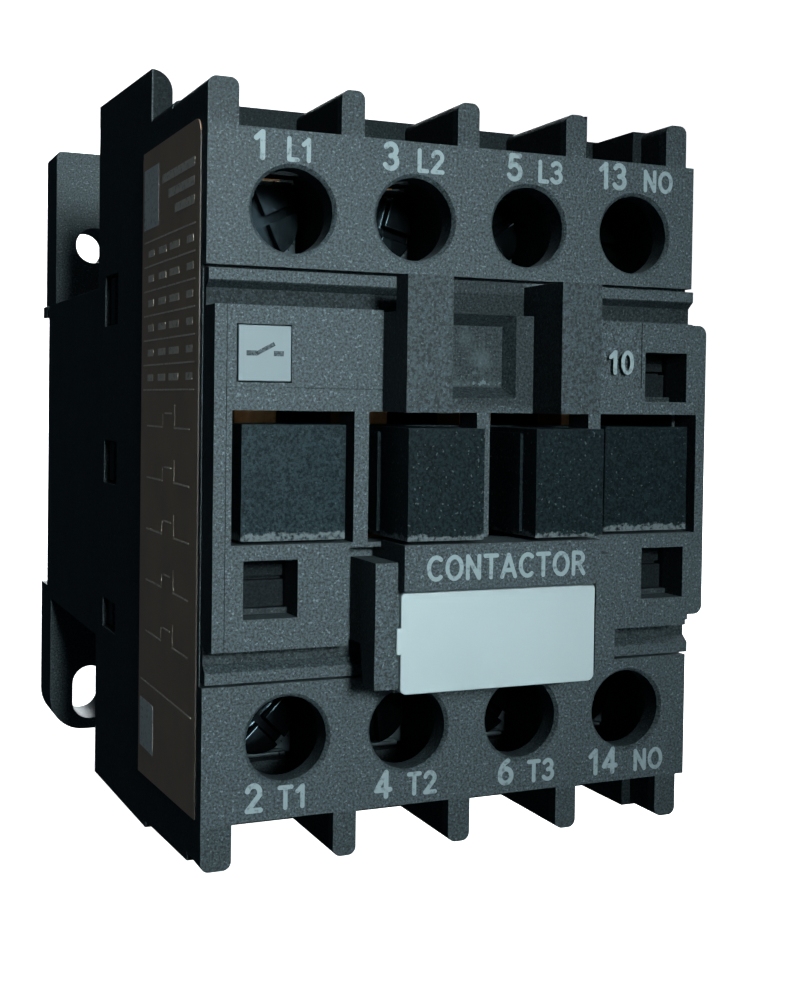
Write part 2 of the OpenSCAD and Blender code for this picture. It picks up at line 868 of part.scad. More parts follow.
base_housing();
front_housing();
front_cover();
marker_holder();
marker_plate();
badge();
side_label();
contact_carrier();
armature();
armature_pin();
fixed_core();
shading_rings();
core_cushion();
coil_bobbin();
coil_winding();
return_springs();
rail_latch();
latch_spring();
for (i = [1:4]) {
    fixed_contact(i, 1);
    fixed_contact(i, -1);
    bridge(i);
    contact_spring(i);
}
for (k = [1:8]) {
    terminal_screw(k);
    terminal_clamp(k);
}
for (m = [0, 1]) {
    coil_terminal(m);
    coil_screw(m);
    coil_clamp(m);
}
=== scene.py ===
"""Looks of a four-pole contactor: materials, printed markings, camera, lights and floor."""

import json
import math

import bmesh
import bpy
from mathutils import Matrix, Vector


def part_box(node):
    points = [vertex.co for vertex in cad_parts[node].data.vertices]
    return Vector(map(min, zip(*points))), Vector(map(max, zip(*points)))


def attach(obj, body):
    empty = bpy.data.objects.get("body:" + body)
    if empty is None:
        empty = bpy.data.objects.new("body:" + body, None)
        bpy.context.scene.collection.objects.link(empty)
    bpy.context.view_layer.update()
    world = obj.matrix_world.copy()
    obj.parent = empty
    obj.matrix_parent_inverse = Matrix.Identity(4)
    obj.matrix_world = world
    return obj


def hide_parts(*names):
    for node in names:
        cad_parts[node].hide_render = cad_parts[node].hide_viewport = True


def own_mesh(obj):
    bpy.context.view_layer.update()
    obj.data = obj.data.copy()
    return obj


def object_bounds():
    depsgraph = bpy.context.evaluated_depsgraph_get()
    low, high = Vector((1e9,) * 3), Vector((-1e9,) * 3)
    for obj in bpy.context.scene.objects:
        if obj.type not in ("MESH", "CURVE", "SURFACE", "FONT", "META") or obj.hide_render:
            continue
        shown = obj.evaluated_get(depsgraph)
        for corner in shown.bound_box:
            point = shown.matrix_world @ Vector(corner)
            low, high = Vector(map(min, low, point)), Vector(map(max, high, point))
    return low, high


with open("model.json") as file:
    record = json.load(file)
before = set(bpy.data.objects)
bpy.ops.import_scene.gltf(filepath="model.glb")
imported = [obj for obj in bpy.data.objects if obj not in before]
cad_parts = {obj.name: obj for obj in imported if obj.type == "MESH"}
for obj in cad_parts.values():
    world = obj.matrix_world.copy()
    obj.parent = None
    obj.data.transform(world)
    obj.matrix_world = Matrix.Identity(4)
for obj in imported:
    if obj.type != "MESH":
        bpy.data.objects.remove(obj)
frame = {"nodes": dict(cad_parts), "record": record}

CAD_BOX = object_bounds()
NODES = frame["nodes"]
MM = 0.001

# Planes that the printed markings lie on, worked out from the frame
BAND_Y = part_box("front_housing")[0].y
NAME_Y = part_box("marker_holder")[0].y
COVER_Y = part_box("badge")[0].y + 0.15 * MM
LABEL_LOW, LABEL_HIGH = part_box("side_label")
BADGE_LOW, BADGE_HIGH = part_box("badge")
PRINT_T = 0.025 * MM

# Linear colours: dark and light tones of a material, what lies on its surface, and a painted
# highlight
CHARCOAL = ((0.031, 0.044, 0.049), (0.045, 0.062, 0.069))
COPPER_TONES = ((0.26, 0.125, 0.052), (0.58, 0.32, 0.15))
SMEAR = (0.105, 0.140, 0.150)
SCUFF = (0.052, 0.088, 0.100)
# Pale lower edge of the heads: wear and a painted highlight
WORN_EDGE_AND_HIGHLIGHT = (0.15, 0.18, 0.19)
DUST = (0.13, 0.16, 0.17)

# Places in millimetres where painted shade, smears, scuffs, wear and a painted highlight begin
# and end
POST_GAP_LEFT = (-4.7, -4.5)
POST_GAP_RIGHT = (5.3, 5.0)
POST_GAP_LOW = (5.0, 6.0)
COVER_STRIP = (13.35, 15.25)
RECESS_X = (-2.7, 2.7)
RECESS_Z = (7.4, 12.3)
OUTER_WALL = (22.45, 22.3)
FIN_ROOTS = (27.3, 27.6)
HEAD_WEAR_AND_HIGHLIGHT_TOP = (-4.5, -4.35)
HEAD_WEAR_AND_HIGHLIGHT_END = (-5.2, -5.1)
FIRST_HEAD = (-11.0, -12.0)
BRIDGE_SHADE_START = 20.75
BRIDGE_SHADE_PITCH = 10.9
BRIDGE_SHADE_EDGE = (4.35, 4.15)
BRIDGE_SHADE_TO_PAD = (8.2, 7.4)


def from_band(mm):
    """Y of a plane that lies this far behind the terminal bands' face."""
    return BAND_Y + mm * MM


# ---------------------------------------------------------------- materials

class Shader:
    """A node material that is built up with short calls."""

    def __init__(self, name):
        self.material = bpy.data.materials.new(name)
        self.material.use_nodes = True
        self.tree = self.material.node_tree
        self.bsdf = self.tree.nodes["Principled BSDF"]
        coords = self.node("ShaderNodeTexCoord")
        self.object = coords.outputs["Object"]
        self.normal = coords.outputs["Normal"]

    def node(self, kind, **settings):
        made = self.tree.nodes.new(kind)
        for key, value in settings.items():
            setattr(made, key, value)
        return made

    def link(self, source, target):
        self.tree.links.new(source, target)

    def scaled(self, x, y, z):
        """Object coordinates stretched by these factors."""
        mapping = self.node("ShaderNodeMapping")
        mapping.inputs["Scale"].default_value = (x, y, z)
        self.link(self.object, mapping.inputs["Vector"])
        return mapping.outputs["Vector"]

    def noise(self, scale, detail=3.0, roughness=0.55, vector=None):
        """Noise of 0 to 1; scale is in features per metre."""
        made = self.node("ShaderNodeTexNoise")
        made.inputs["Scale"].default_value = scale
        made.inputs["Detail"].default_value = detail
        made.inputs["Roughness"].default_value = roughness
        self.link(vector or self.object, made.inputs["Vector"])
        return made.outputs["Fac"]

    def span(self, value, low, high, to_low=0.0, to_high=1.0):
        """Value between low and high mapped to two others, and clamped there."""
        made = self.node("ShaderNodeMapRange")
        made.inputs["From Min"].default_value = low
        made.inputs["From Max"].default_value = high
        made.inputs["To Min"].default_value = to_low
        made.inputs["To Max"].default_value = to_high
        self.link(value, made.inputs["Value"])
        return made.outputs["Result"]

    def span_mm(self, value, limits, to_low=0.0, to_high=1.0):
        """The same for a pair of limits in millimetres."""
        return self.span(value, limits[0] * MM, limits[1] * MM, to_low, to_high)

    def span_depth(self, value, first, last, to_low=0.0, to_high=1.0):
        """The same for depths in millimetres behind the terminal bands' face."""
        return self.span(value, from_band(first), from_band(last), to_low, to_high)

    def math(self, operation, a, b):
        made = self.node("ShaderNodeMath", operation=operation)
        for socket, value in zip(made.inputs, (a, b)):
            if isinstance(value, (int, float)):
                socket.default_value = value
            else:
                self.link(value, socket)
        return made.outputs[0]

    def product(self, first, *others):
        for other in others:
            first = self.math("MULTIPLY", first, other)
        return first

    def larger(self, a, b):
        return self.math("MAXIMUM", a, b)

    def size_of(self, value):
        return self.math("ABSOLUTE", value, 0.0)

    def mix(self, factor, a, b):
        """Colour a where factor is 0 and b where it is 1."""
        made = self.node("ShaderNodeMix", data_type="RGBA")
        if isinstance(factor, float):
            made.inputs["Factor"].default_value = factor
        else:
            self.link(factor, made.inputs["Factor"])
        for name, value in (("A", a), ("B", b)):
            socket = [s for s in made.inputs if s.name == name and s.type == "RGBA"][0]
            if isinstance(value, tuple):
                socket.default_value = (*value, 1.0)
            else:
                self.link(value, socket)
        return [s for s in made.outputs if s.type == "RGBA"][0]

    def bump(self, heights):
        """Chains bump nodes from a list of (height, distance in metres, strength)."""
        normal = None
        for height, distance, strength in heights:
            made = self.node("ShaderNodeBump")
            made.inputs["Distance"].default_value = distance
            made.inputs["Strength"].default_value = strength
            self.link(height, made.inputs["Height"])
            if normal:
                self.link(normal, made.inputs["Normal"])
            normal = made.outputs["Normal"]
        self.link(normal, self.bsdf.inputs["Normal"])

    def axis(self, name, vector=None):
        """One coordinate of a vector, or of the object's own coordinates."""
        made = self.node("ShaderNodeSeparateXYZ")
        self.link(vector or self.object, made.inputs["Vector"])
        return made.outputs[name]

    def zone(self, value, limits, soft=0.1 * MM):
        """1 between two limits in millimetres and 0 outside them, with soft ends."""
        low, high = limits[0] * MM, limits[1] * MM
        rise = self.span(value, low - soft, low + soft)
        fall = self.span(value, high + soft, high - soft)
        return self.product(rise, fall)

    def specular(self, value):
        self.link(value, self.bsdf.inputs["Specular IOR Level"])

    def color(self, value):
        self.link(value, self.bsdf.inputs["Base Color"])

    def rough(self, value):
        self.link(value, self.bsdf.inputs["Roughness"])


def shade(factor, color):
    return tuple(factor * c for c in color)


def no_grime(s):
    """Hardly any grime: faint clouds only."""
    return s.span(s.noise(90), 0.3, 0.7, 0.0, 0.06)


def pebbled(name, tones, rough, depth=0.05 * MM, clouds_and_shade=no_grime, film=None):
    """Moulded plastic with the fine pebble of a spark-eroded tool, painted shade on faces that
    look to the left, and what the given function adds: painted shade in the recesses of the cover
    and housing, faint clouds elsewhere.
    """
    dark, light = tones
    s = Shader(name)
    pebble = s.noise(5000, 2.0, 0.65)
    coarse = s.noise(2000, 3.0, 0.5)
    dust = s.span(s.noise(4600, 1.0, 0.5), 0.64, 0.72)
    patch = s.noise(110, 4.0, 0.6)
    tone = s.mix(s.span(patch, 0.35, 0.7), dark, light)
    grain = s.mix(s.span(pebble, 0.38, 0.62), shade(0.30, dark), shade(2.1, light))
    mottled = s.mix(0.65, tone, grain)
    speck = tuple(min(1.0, 3.4 * c + 0.04) for c in light)
    surface = s.mix(s.product(dust, 0.6), mottled, speck)
    # Painted shade on faces that look to the left, joined with what the given function paints
    left = s.span(s.axis("X", s.normal), -0.4, -0.9, 0.0, 0.62)
    clouds_and_painted_shade = s.larger(clouds_and_shade(s), left)
    surface = s.mix(clouds_and_painted_shade, surface, shade(0.12, dark))
    if film:
        surface = s.mix(film(s), surface, SMEAR)
    s.color(surface)
    s.rough(s.span(s.math("ADD", pebble, s.product(patch, 0.6)), 0.5, 1.1, *rough))
    s.bump([(coarse, depth, 0.5), (pebble, depth, 1.0)])
    # Painted shade and clouds also lower the specular sheen
    s.specular(s.span(clouds_and_painted_shade, 0.0, 0.8, 0.32, 0.05))
    return s.material


def cover_painted_shade(s):
    """Painted shade in the cover's sockets and grooves, thinner between the two posts; also on
    the two strips and the posts' fronts.
    """
    across, back, high = s.axis("X"), s.axis("Y"), s.axis("Z")
    depth = s.math("ADD", back, s.product(s.noise(600, 3.0, 0.6), 0.5 * MM))
    # Painted shade on the floors of the grooves and sockets
    groove = s.span_depth(depth, 0.05, 0.7, 0.0, 0.62)
    socket = s.span_depth(depth, 1.0, 1.5, 0.0, 0.25)
    # Painted shade between the two posts
    gap = s.product(
        s.span_mm(across, POST_GAP_LEFT), s.span_mm(across, POST_GAP_RIGHT),
        s.span_mm(high, POST_GAP_LOW), s.span_depth(back, -3.2, -2.6, 0.0, 0.5),
    )
    # Painted shade on the two strips, heavier on the upper one
    strip = s.product(
        s.zone(s.size_of(high), COVER_STRIP), s.span_mm(high, (0.0, 1.0), 0.30, 0.66),
        s.span_depth(back, -0.6, -0.5),
    )
    # Painted shade on the posts' front faces
    posts = s.span_depth(back, -5.5, -6.5, 0.0, 0.24)
    deep = s.larger(s.math("ADD", groove, socket), s.larger(strip, posts))
    return s.larger(deep, gap)


def window_film(s):
    """Pale smears and crumbs on the floor of the indicator recess."""
    floor = s.product(
        s.zone(s.axis("X"), RECESS_X), s.zone(s.axis("Z"), RECESS_Z),
        s.span_depth(s.axis("Y"), -1.3, -1.2),
    )
    smear = s.span(s.noise(420, 5.0, 0.6), 0.5, 0.72, 0.0, 0.5)
    low = s.span_mm(s.axis("Z"), (9.0, 7.8))
    crumbs = s.product(low, s.span(s.noise(1500, 3.0, 0.6), 0.58, 0.62))
    return s.product(floor, s.larger(smear, crumbs))


def housing_painted_shade(s):
    """Painted shade behind the front plate: in the terminal pockets and between the fins."""
    inside = s.span_mm(s.size_of(s.axis("X")), OUTER_WALL)
    depth = s.math("ADD", s.axis("Y"), s.product(s.noise(500, 3.0, 0.6), 2.0 * MM))
    # Painted shade deep in the terminal pockets
    pocket = s.product(inside, s.span_depth(depth, 1.0, 6.0, 0.0, 0.8))
    # Painted shade between the fins, heavier behind the front plate
    fins = s.span_mm(s.size_of(s.axis("Z")), FIN_ROOTS)
    front = s.span_depth(s.axis("Y"), 0.2, 1.2, 0.24, 0.8)
    return s.larger(pocket, s.product(fins, front, inside))


def carrier_plastic():
    """Dark moulding whose heads are scuffed pale along their lower edges, partly a painted
    highlight.
    """
    s = Shader("carrier_plastic")
    height = s.axis("Z")
    # Pale wear and painted highlight along the lower edge of each head, with a frayed upper limit
    rag = s.noise(620, 5.0, 0.72)
    edge = s.math("SUBTRACT", height, s.product(s.math("SUBTRACT", rag, 0.5), 1.8 * MM))
    scratch = s.span(s.noise(3000, 2.0, 0.6), 0.32, 0.55)
    wear_and_highlight = s.product(
        s.span_mm(edge, HEAD_WEAR_AND_HIGHLIGHT_TOP, 1.0, 0.0), s.span_mm(height, HEAD_WEAR_AND_HIGHLIGHT_END),
        s.span_depth(s.axis("Y"), 0.6, 0.3), scratch,
    )
    # Dark moulded surface with dust
    smudge = s.span(s.noise(190, 5.0, 0.65), 0.35, 0.75)
    pebble = s.noise(4200, 2.0, 0.65)
    tone = s.mix(smudge, (0.0012, 0.0052, 0.0072), (0.0045, 0.0110, 0.0140))
    grain = s.mix(s.span(pebble, 0.38, 0.66), (0.000, 0.002, 0.003), (0.013, 0.027, 0.032))
    dust = s.product(s.span(s.noise(3600, 1.0, 0.5), 0.68, 0.75), 0.5)
    dusty = s.mix(dust, s.mix(0.62, tone, grain), DUST)
    # The first head, which is pressed most, is scuffed all over
    first = s.product(s.span_mm(s.axis("X"), FIRST_HEAD), 0.45)
    scuff = s.span(s.noise(4200, 3.0, 0.75), 0.36, 0.66)
    cloud = s.span(s.noise(520, 4.0, 0.6, s.scaled(1.0, 1.0, 0.5)), 0.38, 0.66, 0.55, 1.0)
    scuffed = s.mix(s.product(scuff, cloud), (0.003, 0.010, 0.014), SCUFF)
    s.color(s.mix(s.product(wear_and_highlight, 0.8), s.mix(first, dusty, scuffed), WORN_EDGE_AND_HIGHLIGHT))
    s.rough(s.span(smudge, 0.0, 1.0, 0.50, 0.62))
    s.bump([(pebble, 0.04 * MM, 0.5), (wear_and_highlight, 0.05 * MM, 0.4)])
    s.bsdf.inputs["Specular IOR Level"].default_value = 0.10
    return s.material


def pale_plastic(name, dark, light):
    """Smooth pale moulding with faint clouds."""
    s = Shader(name)
    cloud = s.noise(120, 4.0, 0.5)
    s.color(s.mix(s.span(cloud, 0.35, 0.7), dark, light))
    s.rough(s.span(cloud, 0.3, 0.7, 0.42, 0.55))
    s.bump([(s.noise(2400, 2.0, 0.5), 0.01 * MM, 0.3)])
    return s.material


def label_foil():
    """Brown metal foil, brushed along Z, with a dark cut edge at the front."""
    s = Shader("label_foil")
    mottle = s.noise(220, 5.0, 0.6)
    grain = s.noise(3000, 2.0, 0.5, s.scaled(1.0, 1.0, 0.2))
    foil = s.mix(s.span(mottle, 0.3, 0.75), (0.40, 0.262, 0.185), (0.55, 0.365, 0.262))
    edge = s.span(s.axis("Y"), LABEL_LOW.y + 0.03 * MM, LABEL_LOW.y + 0.06 * MM, 0.93, 0.0)
    s.color(s.mix(edge, foil, (0.012, 0.010, 0.009)))
    s.rough(s.span(mottle, 0.3, 0.7, 0.38, 0.5))
    s.bump([(grain, 0.01 * MM, 0.25)])
    return s.material


def print_ink(name, color):
    """Pad-printed ink: slightly uneven, a little worn through by the pebble below."""
    s = Shader(name)
    wear = s.span(s.noise(2600, 3.0, 0.6), 0.28, 0.46)
    s.color(s.mix(wear, shade(0.45, color), color))
    s.rough(s.span(wear, 0.0, 1.0, 0.75, 0.55))
    s.bump([(s.noise(3800, 2.0, 0.6), 0.02 * MM, 0.4)])
    return s.material


def bridge_painted_shade(s):
    """Painted shade on the left of each contact bridge, a little wider from pole to pole."""
    place = s.math("ADD", s.axis("X"), BRIDGE_SHADE_START * MM)
    left = s.span_mm(s.math("MODULO", place, BRIDGE_SHADE_PITCH * MM), BRIDGE_SHADE_EDGE, 0.0, 0.94)
    return s.product(left, s.span_mm(s.size_of(s.axis("Z")), BRIDGE_SHADE_TO_PAD))


def metal(name, tones, rough, brush=(1.0, 1.0, 1.0), spots=0.25, spread=0.2, shade_paint=None):
    """Worked metal: directional brushing, tarnish patches and small pits."""
    dark, light = tones
    s = Shader(name)
    s.bsdf.inputs["Metallic"].default_value = 1.0
    lines = s.noise(1800, 3.0, 0.6, s.scaled(*brush))
    patch = s.noise(300, 4.0, 0.6)
    pits = s.span(s.noise(2600, 2.0, 0.6), 0.62, 0.72)
    tone = s.mix(s.span(patch, 0.35, 0.68), dark, light)
    surface = s.mix(s.product(pits, spots), tone, shade(0.35, dark))
    # Painted shade: the masked part of each bridge goes near black
    if shade_paint:
        surface = s.mix(shade_paint(s), surface, shade(0.03, dark))
    s.color(surface)
    s.rough(s.span(s.math("ADD", lines, patch), 0.7, 1.3, rough, rough + spread))
    s.bump([(lines, 0.02 * MM, 0.3), (pits, 0.01 * MM, 0.3)])
    return s.material


def laminated(name):
    """Stack of thin core sheets: fine dark lines across the stack's thickness."""
    s = Shader(name)
    s.bsdf.inputs["Metallic"].default_value = 0.9
    wave = s.node("ShaderNodeTexWave", bands_direction="Z")
    wave.inputs["Scale"].default_value = 620
    wave.inputs["Distortion"].default_value = 0.6
    s.link(s.object, wave.inputs["Vector"])
    lines = wave.outputs["Fac"]
    patch = s.span(s.noise(260, 4.0, 0.6), 0.3, 0.7)
    tone = s.mix(patch, (0.20, 0.20, 0.21), (0.34, 0.34, 0.35))
    s.color(s.mix(s.span(lines, 0.0, 0.25, 0.6, 0.0), tone, (0.05, 0.045, 0.04)))
    s.rough(s.span(patch, 0.0, 1.0, 0.38, 0.55))
    s.bump([(lines, 0.05 * MM, 0.5)])
    return s.material


def wound_wire():
    """Lacquered copper wire: turns side by side along the coil's length."""
    s = Shader("wound_wire")
    wave = s.node("ShaderNodeTexWave", bands_direction="Y", wave_profile="SIN")
    wave.inputs["Scale"].default_value = 760
    wave.inputs["Distortion"].default_value = 0.8
    s.link(s.object, wave.inputs["Vector"])
    turns = wave.outputs["Fac"]
    s.color(s.mix(turns, (0.10, 0.028, 0.010), (0.42, 0.15, 0.06)))
    s.rough(s.span(s.noise(500, 3.0, 0.5), 0.3, 0.7, 0.25, 0.4))
    s.bump([(turns, 0.12 * MM, 0.8)])
    s.bsdf.inputs["Coat Weight"].default_value = 0.3
    return s.material


def rubber():
    """Matt black rubber."""
    s = Shader("cushion_rubber")
    mottle = s.noise(700, 4.0, 0.6)
    s.color(s.mix(mottle, (0.012, 0.012, 0.012), (0.03, 0.03, 0.03)))
    s.rough(s.span(mottle, 0.3, 0.7, 0.75, 0.9))
    s.bump([(s.noise(2500, 2.0, 0.5), 0.03 * MM, 0.5)])
    return s.material


ALONG_Y = (1.0, 0.3, 1.0)
ALONG_Z = (1.0, 1.0, 0.2)
BODY = pebbled("charcoal_body", CHARCOAL, (0.5, 0.7))
CARRIER = carrier_plastic()
HOUSING = pebbled("charcoal_housing", CHARCOAL, (0.5, 0.7), clouds_and_shade=housing_painted_shade)
PALE = pale_plastic("pale_plate", (0.430, 0.508, 0.524), (0.455, 0.536, 0.552))
BADGE = pale_plastic("pale_badge", (0.180, 0.232, 0.252), (0.200, 0.252, 0.275))
LABEL = label_foil()
INK = print_ink("pale_ink", (0.255, 0.325, 0.345))
LABEL_INK = print_ink("label_ink", (0.88, 0.74, 0.62))
LABEL_BLOCK = print_ink("label_block", (0.80, 0.78, 0.76))
# Zinc toned dark all over: painted shade, chosen for the shaded terminal holes where the clamps
# sit
ZINC = metal("zinc_steel", ((0.030, 0.042, 0.047), (0.12, 0.155, 0.17)), 0.24, ALONG_Y)
# The terminal screws get a still darker copy of the zinc: painted shade
SHADED_SCREW = metal("dark_screw", ((0.012, 0.018, 0.021), (0.026, 0.038, 0.044)), 0.16, ALONG_Y,
              spots=0.08, spread=0.04)
COPPER = metal("copper_strip", COPPER_TONES, 0.32, ALONG_Z)
BRIDGE = metal("bridge_copper", COPPER_TONES, 0.32, ALONG_Z, shade_paint=bridge_painted_shade)
SPRING = metal("spring_steel", ((0.30, 0.30, 0.31), (0.55, 0.55, 0.56)), 0.25, (0.3, 1.0, 0.3))
CORE = laminated("core_steel")
WINDING = wound_wire()
RUBBER = rubber()
BOBBIN = pebbled("bobbin_plastic", ((0.50, 0.47, 0.38), (0.60, 0.57, 0.48)), (0.45, 0.6),
                 0.02 * MM)
LATCH = pebbled("latch_plastic", ((0.030, 0.033, 0.035), (0.045, 0.048, 0.050)), (0.4, 0.55),
                0.02 * MM)
COVER = pebbled("charcoal_cover", CHARCOAL, (0.5, 0.7), clouds_and_shade=cover_painted_shade, film=window_film)

# Finish of each material slot, and of the nodes that differ from their slot
FINISHES = {
    "charcoal_body": BODY, "carrier_plastic": CARRIER, "pale_plate": PALE, "label_foil": LABEL,
    "zinc_steel": ZINC, "copper_strip": COPPER, "core_steel": CORE, "spring_steel": SPRING,
    "cushion_rubber": RUBBER, "bobbin_plastic": BOBBIN, "winding_wire": WINDING,
    "latch_plastic": LATCH,
}
NODE_FINISHES = {"badge": BADGE, "front_cover": COVER, "front_housing": HOUSING}
NODE_FINISHES.update({f"terminal_screw_{k}": SHADED_SCREW for k in range(1, 9)})
NODE_FINISHES.update({f"bridge_{k}": BRIDGE for k in range(1, 5)})


# ------------------------------------------------------- finish of CAD nodes

# Edge radius in millimetres for each node, or for the nodes whose names start so
EDGES = {
    "base_housing": 0.35, "front_housing": 0.32, "front_cover": 0.22, "marker_holder": 0.25,
    "marker_plate": 0.2, "badge": 0.08, "contact_carrier": 0.2, "rail_latch": 0.25,
    "terminal_screw": 0.15, "terminal_clamp": 0.12, "coil_screw": 0.12, "coil_clamp": 0.1,
    "coil_terminal": 0.1, "coil_bobbin": 0.25, "bridge": 0.15, "line_contact": 0.12,
    "load_contact": 0.12, "armature_pin": 0.2, "core_cushion": 0.4, "coil_winding": 0.8,
}
WELD_MM = 0.002
FLAT_DEGREES = 0.5
SHARP_DEGREES = 40


def edge_radius(name):
    for start, radius in EDGES.items():
        if name.startswith(start):
            return radius
    return None


def round_edges(obj, radius):
    """Rounds the sharp edges of a CAD node, in millimetres, by modifiers only."""
    weld = obj.modifiers.new("Weld", "WELD")
    weld.merge_threshold = WELD_MM * MM
    flat = obj.modifiers.new("Flat", "DECIMATE")
    flat.decimate_type = "DISSOLVE"
    flat.angle_limit = math.radians(FLAT_DEGREES)
    bevel = obj.modifiers.new("Edge", "BEVEL")
    bevel.width = radius * MM
    bevel.segments = 3
    bevel.limit_method = "ANGLE"
    bevel.angle_limit = math.radians(SHARP_DEGREES)
    bevel.use_clamp_overlap = True
    bevel.harden_normals = False
    normals = obj.modifiers.new("Normals", "WEIGHTED_NORMAL")
    normals.keep_sharp = False
    for polygon in obj.data.polygons:
        polygon.use_smooth = True


def finish_cad_nodes():
    """Gives each CAD node its material and, where it has one, its edge radius."""
    slots = {p["node"]: p["material_slot"] for p in frame["record"]["subparts"]}
    for name, obj in NODES.items():
        obj.data.materials.clear()
        obj.data.materials.append(NODE_FINISHES.get(name) or FINISHES[slots[name]])
        radius = edge_radius(name)
        if radius is not None:
            round_edges(obj, radius)


# ------------------------------------------------------------ printed marks

def arc(cx, cz, rx, rz, first, last, steps=14):
    """Points of an elliptical arc; degrees from +X, counter-clockwise when last > first."""
    angles = [math.radians(first + (last - first) * k / steps) for k in range(steps + 1)]
    return [(cx + rx * math.cos(a), cz + rz * math.sin(a)) for a in angles]


# Each glyph is its advance width and its pen strokes, for a capital height of 1
GLYPHS = {
    "0": (0.60, [arc(0.30, 0.5, 0.27, 0.5, 90, 450, 28)]),
    "1": (0.46, [[(0.04, 0.76), (0.30, 1.0), (0.30, 0.0)]]),
    "2": (0.60, [arc(0.29, 0.72, 0.26, 0.28, 165, -28) + [(0.03, 0.0), (0.58, 0.0)]]),
    "3": (0.58, [arc(0.26, 0.755, 0.24, 0.245, 150, -90), arc(0.26, 0.27, 0.28, 0.27, 78, -150)]),
    "4": (0.64, [[(0.46, 0.0), (0.46, 1.0), (0.02, 0.27), (0.64, 0.27)]]),
    "5": (0.60, [[(0.52, 1.0), (0.12, 1.0), (0.08, 0.52)]
                 + arc(0.27, 0.31, 0.29, 0.31, 122, -150)]),
    "6": (0.62, [arc(0.62, 0.33, 0.59, 0.67, 110, 175), arc(0.31, 0.31, 0.28, 0.31, 0, 360, 24)]),
    "A": (0.70, [[(0.0, 0.0), (0.34, 1.0), (0.68, 0.0)], [(0.12, 0.30), (0.56, 0.30)]]),
    "C": (0.66, [arc(0.38, 0.5, 0.37, 0.5, 52, 308, 20)]),
    "L": (0.48, [[(0.04, 1.0), (0.04, 0.0), (0.46, 0.0)]]),
    "N": (0.68, [[(0.04, 0.0), (0.04, 1.0), (0.62, 0.0), (0.62, 1.0)]]),
    "O": (0.76, [arc(0.38, 0.5, 0.36, 0.5, 90, 450, 28)]),
    "R": (0.62, [[(0.04, 0.0), (0.04, 1.0)] + arc(0.30, 0.75, 0.26, 0.25, 90, -90, 10)
                 + [(0.04, 0.5)], [(0.30, 0.5), (0.60, 0.0)]]),
    "T": (0.62, [[(0.0, 1.0), (0.60, 1.0)], [(0.30, 1.0), (0.30, 0.0)]]),
}
GLYPH_GAP = 0.26
# Crossing strokes are kept apart by this many steps of a ten-thousandth of a millimetre
STROKE_LEVELS = 7
LEVEL_STEP = 0.0004 * MM
CAP_SIDES = 10


def pen_stroke(bm, points, width, lift):
    """A flat-topped line with round ends: points in the x-z plane, lift towards -Y."""
    half = width / 2
    for (x0, z0), (x1, z1) in zip(points, points[1:]):
        heading = math.atan2(z1 - z0, x1 - x0)
        outline = []
        for x, z, start in ((x0, z0, heading + math.pi / 2), (x1, z1, heading - math.pi / 2)):
            for k in range(CAP_SIDES + 1):
                a = start + math.pi * k / CAP_SIDES
                outline.append((x + half * math.cos(a), z + half * math.sin(a)))
        back = [bm.verts.new((x, 0.0, z)) for x, z in outline]
        front = [bm.verts.new((x, -lift, z)) for x, z in outline]
        bm.faces.new(front)
        bm.faces.new(back[::-1])
        for k in range(len(outline)):
            j = (k + 1) % len(outline)
            bm.faces.new((front[k], back[k], back[j], front[j]))


def lettering(name, words, style, center, material):
    """Printed words on a face that looks to the front.

    style is the height and the pen width in mm, and center is in metres.
    """
    height, pen = style
    bm = bmesh.new()
    scale = (height - pen) * MM
    total = sum(GLYPHS[c][0] for c in words) + GLYPH_GAP * (len(words) - 1)
    x = -total / 2
    level = 0
    for character in words:
        advance, strokes = GLYPHS[character]
        for points in strokes:
            placed = [((x + px) * scale, (pz - 0.5) * scale) for px, pz in points]
            for pair in zip(placed, placed[1:]):
                lift = PRINT_T + (level % STROKE_LEVELS) * LEVEL_STEP
                pen_stroke(bm, pair, pen * MM, lift)
                level += 1
        x += advance + GLYPH_GAP
    bmesh.ops.translate(bm, verts=bm.verts, vec=center)
    piece_from(bm, name, material, "housing")


# Height and pen width of each kind of print, in mm
NUMBER_STYLE = (2.4, 0.42)
LETTER_STYLE = (2.0, 0.36)
CODE_STYLE = (2.1, 0.38)
NAME_STYLE = (2.05, 0.34)
NUMBER_X = (-18.2, -7.1, 4.3, 14.0)
LETTERS_X = (-14.95, -3.55, 7.75, 18.7)
# For each row the heights of its numbers and letters, then both texts
TERMINAL_ROWS = {
    "upper": (26.0, 25.85, ("1", "3", "5", "13"), ("L1", "L2", "L3", "NO")),
    "lower": (-25.5, -25.7, ("2", "4", "6", "14"), ("T1", "T2", "T3", "NO")),
}


def terminal_marks():
    """Pole numbers and letters on the two terminal bands, in the usual order."""
    for row, (number_z, letters_z, numbers, letters) in TERMINAL_ROWS.items():
        for i in range(4):
            tag = f"print_{row}_{i + 1}"
            place = (NUMBER_X[i] * MM, BAND_Y, number_z * MM)
            lettering(f"{tag}_number", numbers[i], NUMBER_STYLE, place, INK)
            place = (LETTERS_X[i] * MM, BAND_Y, letters_z * MM)
            lettering(f"{tag}_letters", letters[i], LETTER_STYLE, place, INK)


def cover_marks():
    """Contact code on the cover and the generic name above the writing plate."""
    place = (13.6 * MM, COVER_Y - 0.3 * MM, 9.65 * MM)
    lettering("print_contact_code", "10", CODE_STYLE, place, INK)
    place = (0.5 * MM, NAME_Y, -6.9 * MM)
    lettering("print_name", "CONTACTOR", NAME_STYLE, place, INK)


